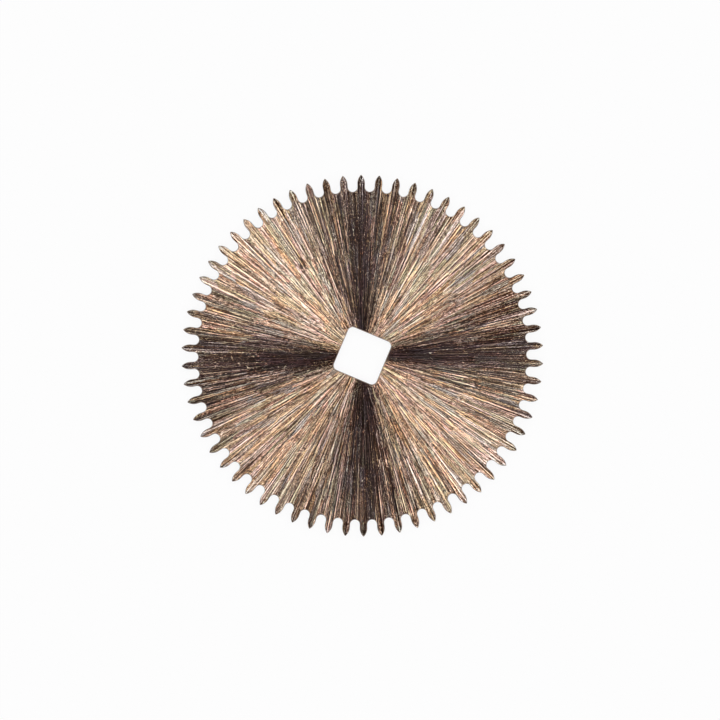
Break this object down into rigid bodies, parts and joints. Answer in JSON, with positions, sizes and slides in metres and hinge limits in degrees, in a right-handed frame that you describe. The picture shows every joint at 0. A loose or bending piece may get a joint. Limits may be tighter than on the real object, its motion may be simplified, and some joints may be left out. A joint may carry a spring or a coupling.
{
  "type": "ratchet wheel",
  "caption": "Flat toothed wheel of a watch's winding work, with small pointed teeth, a sunray brushed face and a rounded square hole for the barrel arbor.",
  "frame": {"origin": "centre of the square hole, at the underside of the wheel", "axes": "+Z along the wheel's axis, from the underside to the brushed face; X and Y square to the flats of the hole; one tooth points along +Y"},
  "size_m": [0.0098, 0.0098, 0.0003],
  "materials": {
    "gilt_steel": "hardened steel with a rose gilt plating, brushed in radial lines from the hole to the teeth"
  },
  "bodies": {
    "root": {"ratchet_wheel": "gilt_steel"}
  },
  "joints": []
}
